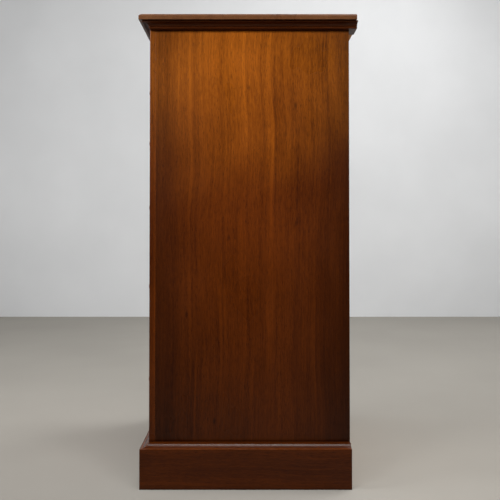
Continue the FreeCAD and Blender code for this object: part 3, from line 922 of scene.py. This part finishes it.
class CHEST_OT_back_screws(bpy.types.Operator):
    """Set the slotted screws that hold the back boards to the carcase"""

    bl_idname = "chest.back_screws"
    bl_label = "Back screws"

    def execute(self, context):
        sizes = context.scene.chest.screws
        low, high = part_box("back_boards")
        board = (high.x - low.x) / BACK_BOARDS
        # Two at each end of each board, and three along each side of the carcase
        places = [
            (low.x + board * (index + share), z)
            for index in range(BACK_BOARDS)
            for share in (0.25, 0.75)
            for z in (low.z + SCREW_FROM_END, high.z - SCREW_FROM_END)
        ]
        places += [
            (x, low.z + (high.z - low.z) * share)
            for x in (low.x + SCREW_FROM_SIDE, high.x - SCREW_FROM_SIDE)
            for share in (0.25, 0.5, 0.75)
        ]
        chance = random.Random(SCREW_SEED)
        shape = bmesh.new()
        for x, z in places:
            seat = Vector((x, high.y, z))
            self.slotted_head(shape, seat, sizes, chance.uniform(0, math.pi))
        heads = object_from("back_board_screws", shape, aged_steel(), smooth_below=40)
        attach(heads, "case")
        return {"FINISHED"}

    def slotted_head(self, shape, seat, sizes, angle):
        """A countersunk head seen from behind: two half rounds with a slot between them."""
        radius = sizes.head / 2
        start = math.asin(sizes.slot_width / 2 / radius)
        spin = Matrix.Rotation(angle, 3, "Y")
        rise = Vector((0, sizes.proud, 0))
        for hand in (1, -1):
            rim = []
            for step in range(HEAD_STEPS + 1):
                at = start + (math.pi - 2 * start) * step / HEAD_STEPS
                rim.append(spin @ Vector((radius * math.cos(at), 0, hand * radius * math.sin(at))))
            top = [shape.verts.new(seat + point * HEAD_FLAT + rise) for point in rim]
            foot = [shape.verts.new(seat + point - rise) for point in rim]
            shape.faces.new(top)
            shape.faces.new(foot)
            for index in range(len(rim)):
                after = (index + 1) % len(rim)
                shape.faces.new((top[index], top[after], foot[after], foot[index]))


# The stage, in metres
STAGE_REACH = 8.0
WALL_AT = -2.9
SIDE_WALL_AT = 3.2
WALL_BEND = 1.0
WALL_BEND_STEPS = 12
WALL_HEIGHT = 5.0
PAINT_LIFT = 0.14

# Each lamp's name, place, aim, panel (width, height), the setting that gives its power, and the
# angle that it spreads over in degrees
LAMPS = (
    ("lamp_key_near_front", (2.2, -1.8, 1.9), (0.28, 0, 1.2), (0.8, 0.8), "key", 64),
    ("lamp_key_near_back", (2.2, 1.8, 1.9), (0.28, 0, 1.2), (0.8, 0.8), "key", 64),
    ("lamp_overhead", (1.05, 0, 2.9), (0.27, 0, 0.1), (2.0, 0.7), "overhead", 60),
    ("lamp_front", (0.35, -3.2, 2.2), (0, 0, 0.7), (2.0, 2.0), "fill", 150),
    ("lamp_rear", (-0.9, 2.3, 3.3), (0, 0, 0.5), (1.8, 1.8), "rear", 150),
    ("lamp_wall", (-1.0, 0.9, 3.2), (-2.9, 0.4, 1.0), (1.5, 1.5), "wash", 160),
)

# The camera looks square at the chest's right-hand side, tilted up by a degree
CAMERA_PLACE = (1.928, -0.00125, 0.64)
CAMERA_TURN = (math.radians(91), 0, math.radians(90))
CAMERA_LENS = 46.8
CAMERA_SENSOR = 36
CAMERA_SHIFT = (0.004, -0.062)


class CHEST_OT_stage(bpy.types.Operator):
    """Set the plain floor and wall, the soft lamps and the camera"""

    bl_idname = "chest.stage"
    bl_label = "Stage"

    def execute(self, context):
        look = context.scene.chest.stage
        context.scene.view_settings.view_transform = "Standard"
        self.set_walls(look)
        self.set_floor(look)
        for name, place, aim, panel, setting, spread in LAMPS:
            self.set_lamp(context.scene, name, place, aim, panel, getattr(look, setting), spread)
        self.set_surroundings(context.scene, look)
        self.set_camera(context.scene)
        return {"FINISHED"}

    def set_walls(self, look):
        """The wall beyond the chest, bent round into the one behind its back."""
        bend = [
            (
                WALL_AT + WALL_BEND * (1 - math.cos(angle)),
                SIDE_WALL_AT - WALL_BEND * (1 - math.sin(angle)),
            )
            for angle in (
                math.radians(90) * step / WALL_BEND_STEPS for step in range(WALL_BEND_STEPS + 1)
            )
        ]
        line = [(WALL_AT, -STAGE_REACH), *bend, (STAGE_REACH, SIDE_WALL_AT)]
        shape = bmesh.new()
        low, high = ([shape.verts.new((x, y, z)) for x, y in line] for z in (0, WALL_HEIGHT))
        for corners in zip(low, low[1:], high[1:], high):
            shape.faces.new(corners)
        paint = plain("Wall_matt_paint", look.wall, 0.9, PAINT_LIFT)
        object_from("stage_wall", shape, paint, smooth_below=30)

    def set_floor(self, look):
        """The floor, out to the stage's reach."""
        shape = bmesh.new()
        bmesh.ops.create_grid(shape, x_segments=8, y_segments=8, size=STAGE_REACH)
        paint = plain("Floor_matt_paint", look.floor, 0.7, PAINT_LIFT)
        object_from("stage_floor", shape, paint)

    def set_lamp(self, scene, name, place, aim, panel, watts, spread):
        """A soft panel (width, height) of light, aimed from place."""
        data = bpy.data.lights.new(name, "AREA")
        data.shape = "RECTANGLE"
        data.size, data.size_y = panel
        data.energy = watts
        data.spread = math.radians(spread)
        lamp = bpy.data.objects.new(name, data)
        lamp.visible_camera = False
        lamp.location = place
        lamp.rotation_euler = (Vector(aim) - Vector(place)).to_track_quat("-Z", "Y").to_euler()
        scene.collection.objects.link(lamp)

    def set_surroundings(self, scene, look):
        """Faint light from all round, which the camera sees as the wall's own colour."""
        world = bpy.data.worlds.new("Room")
        scene.world = world
        world.use_nodes = True
        tree = world.node_tree
        tree.nodes.clear()
        seen = add(tree, "LightPath").outputs["Is Camera Ray"]
        strength = add(tree, "MapRange", {"Value": seen, "To Min": look.ambient, "To Max": 1.0})
        sky = add(
            tree,
            "Background",
            {"Color": solid(look.wall), "Strength": strength.outputs["Result"]},
        )
        add(tree, "OutputWorld", {"Surface": sky.outputs["Background"]})

    def set_camera(self, scene):
        """The camera, at the photograph's viewing angle."""
        data = bpy.data.cameras.new("Camera")
        data.lens = CAMERA_LENS
        data.sensor_width = CAMERA_SENSOR
        data.shift_x, data.shift_y = CAMERA_SHIFT
        camera = bpy.data.objects.new("Camera", data)
        camera.location = CAMERA_PLACE
        camera.rotation_euler = CAMERA_TURN
        scene.collection.objects.link(camera)
        scene.camera = camera


class CHEST_PT_sidebar(bpy.types.Panel):
    """Lists the pieces and their settings in the sidebar"""

    bl_idname = "CHEST_PT_sidebar"
    bl_label = "Tall chest"
    bl_space_type = "VIEW_3D"
    bl_region_type = "UI"
    bl_category = "Chest"

    def draw(self, context):
        chest = context.scene.chest
        for title, group, operators in (
            ("Woods", chest.woods, ("carcase", "mouldings", "drawers")),
            ("Knobs", chest.knobs, ("knobs",)),
            ("Screws", chest.screws, ("back_screws",)),
            ("Stage", chest.stage, ("stage",)),
        ):
            box = self.layout.box()
            box.label(text=title)
            for name in group.__annotations__:
                box.prop(group, name)
            for operator in operators:
                box.operator("chest." + operator)


CLASSES = (
    ChestWoodSettings,
    ChestKnobSettings,
    ChestScrewSettings,
    ChestStageSettings,
    ChestSettings,
    CHEST_OT_carcase,
    CHEST_OT_mouldings,
    CHEST_OT_drawers,
    CHEST_OT_knobs,
    CHEST_OT_back_screws,
    CHEST_OT_stage,
    CHEST_PT_sidebar,
)


def register():
    for item in CLASSES:
        bpy.utils.register_class(item)
    bpy.types.Scene.chest = bpy.props.PointerProperty(type=ChestSettings)


def unregister():
    del bpy.types.Scene.chest
    for item in reversed(CLASSES):
        bpy.utils.unregister_class(item)


def main():
    register()
    bpy.ops.chest.carcase()
    bpy.ops.chest.mouldings()
    bpy.ops.chest.drawers()
    bpy.ops.chest.knobs()
    bpy.ops.chest.back_screws()
    bpy.ops.chest.stage()


if __name__ == "__main__":
    main()
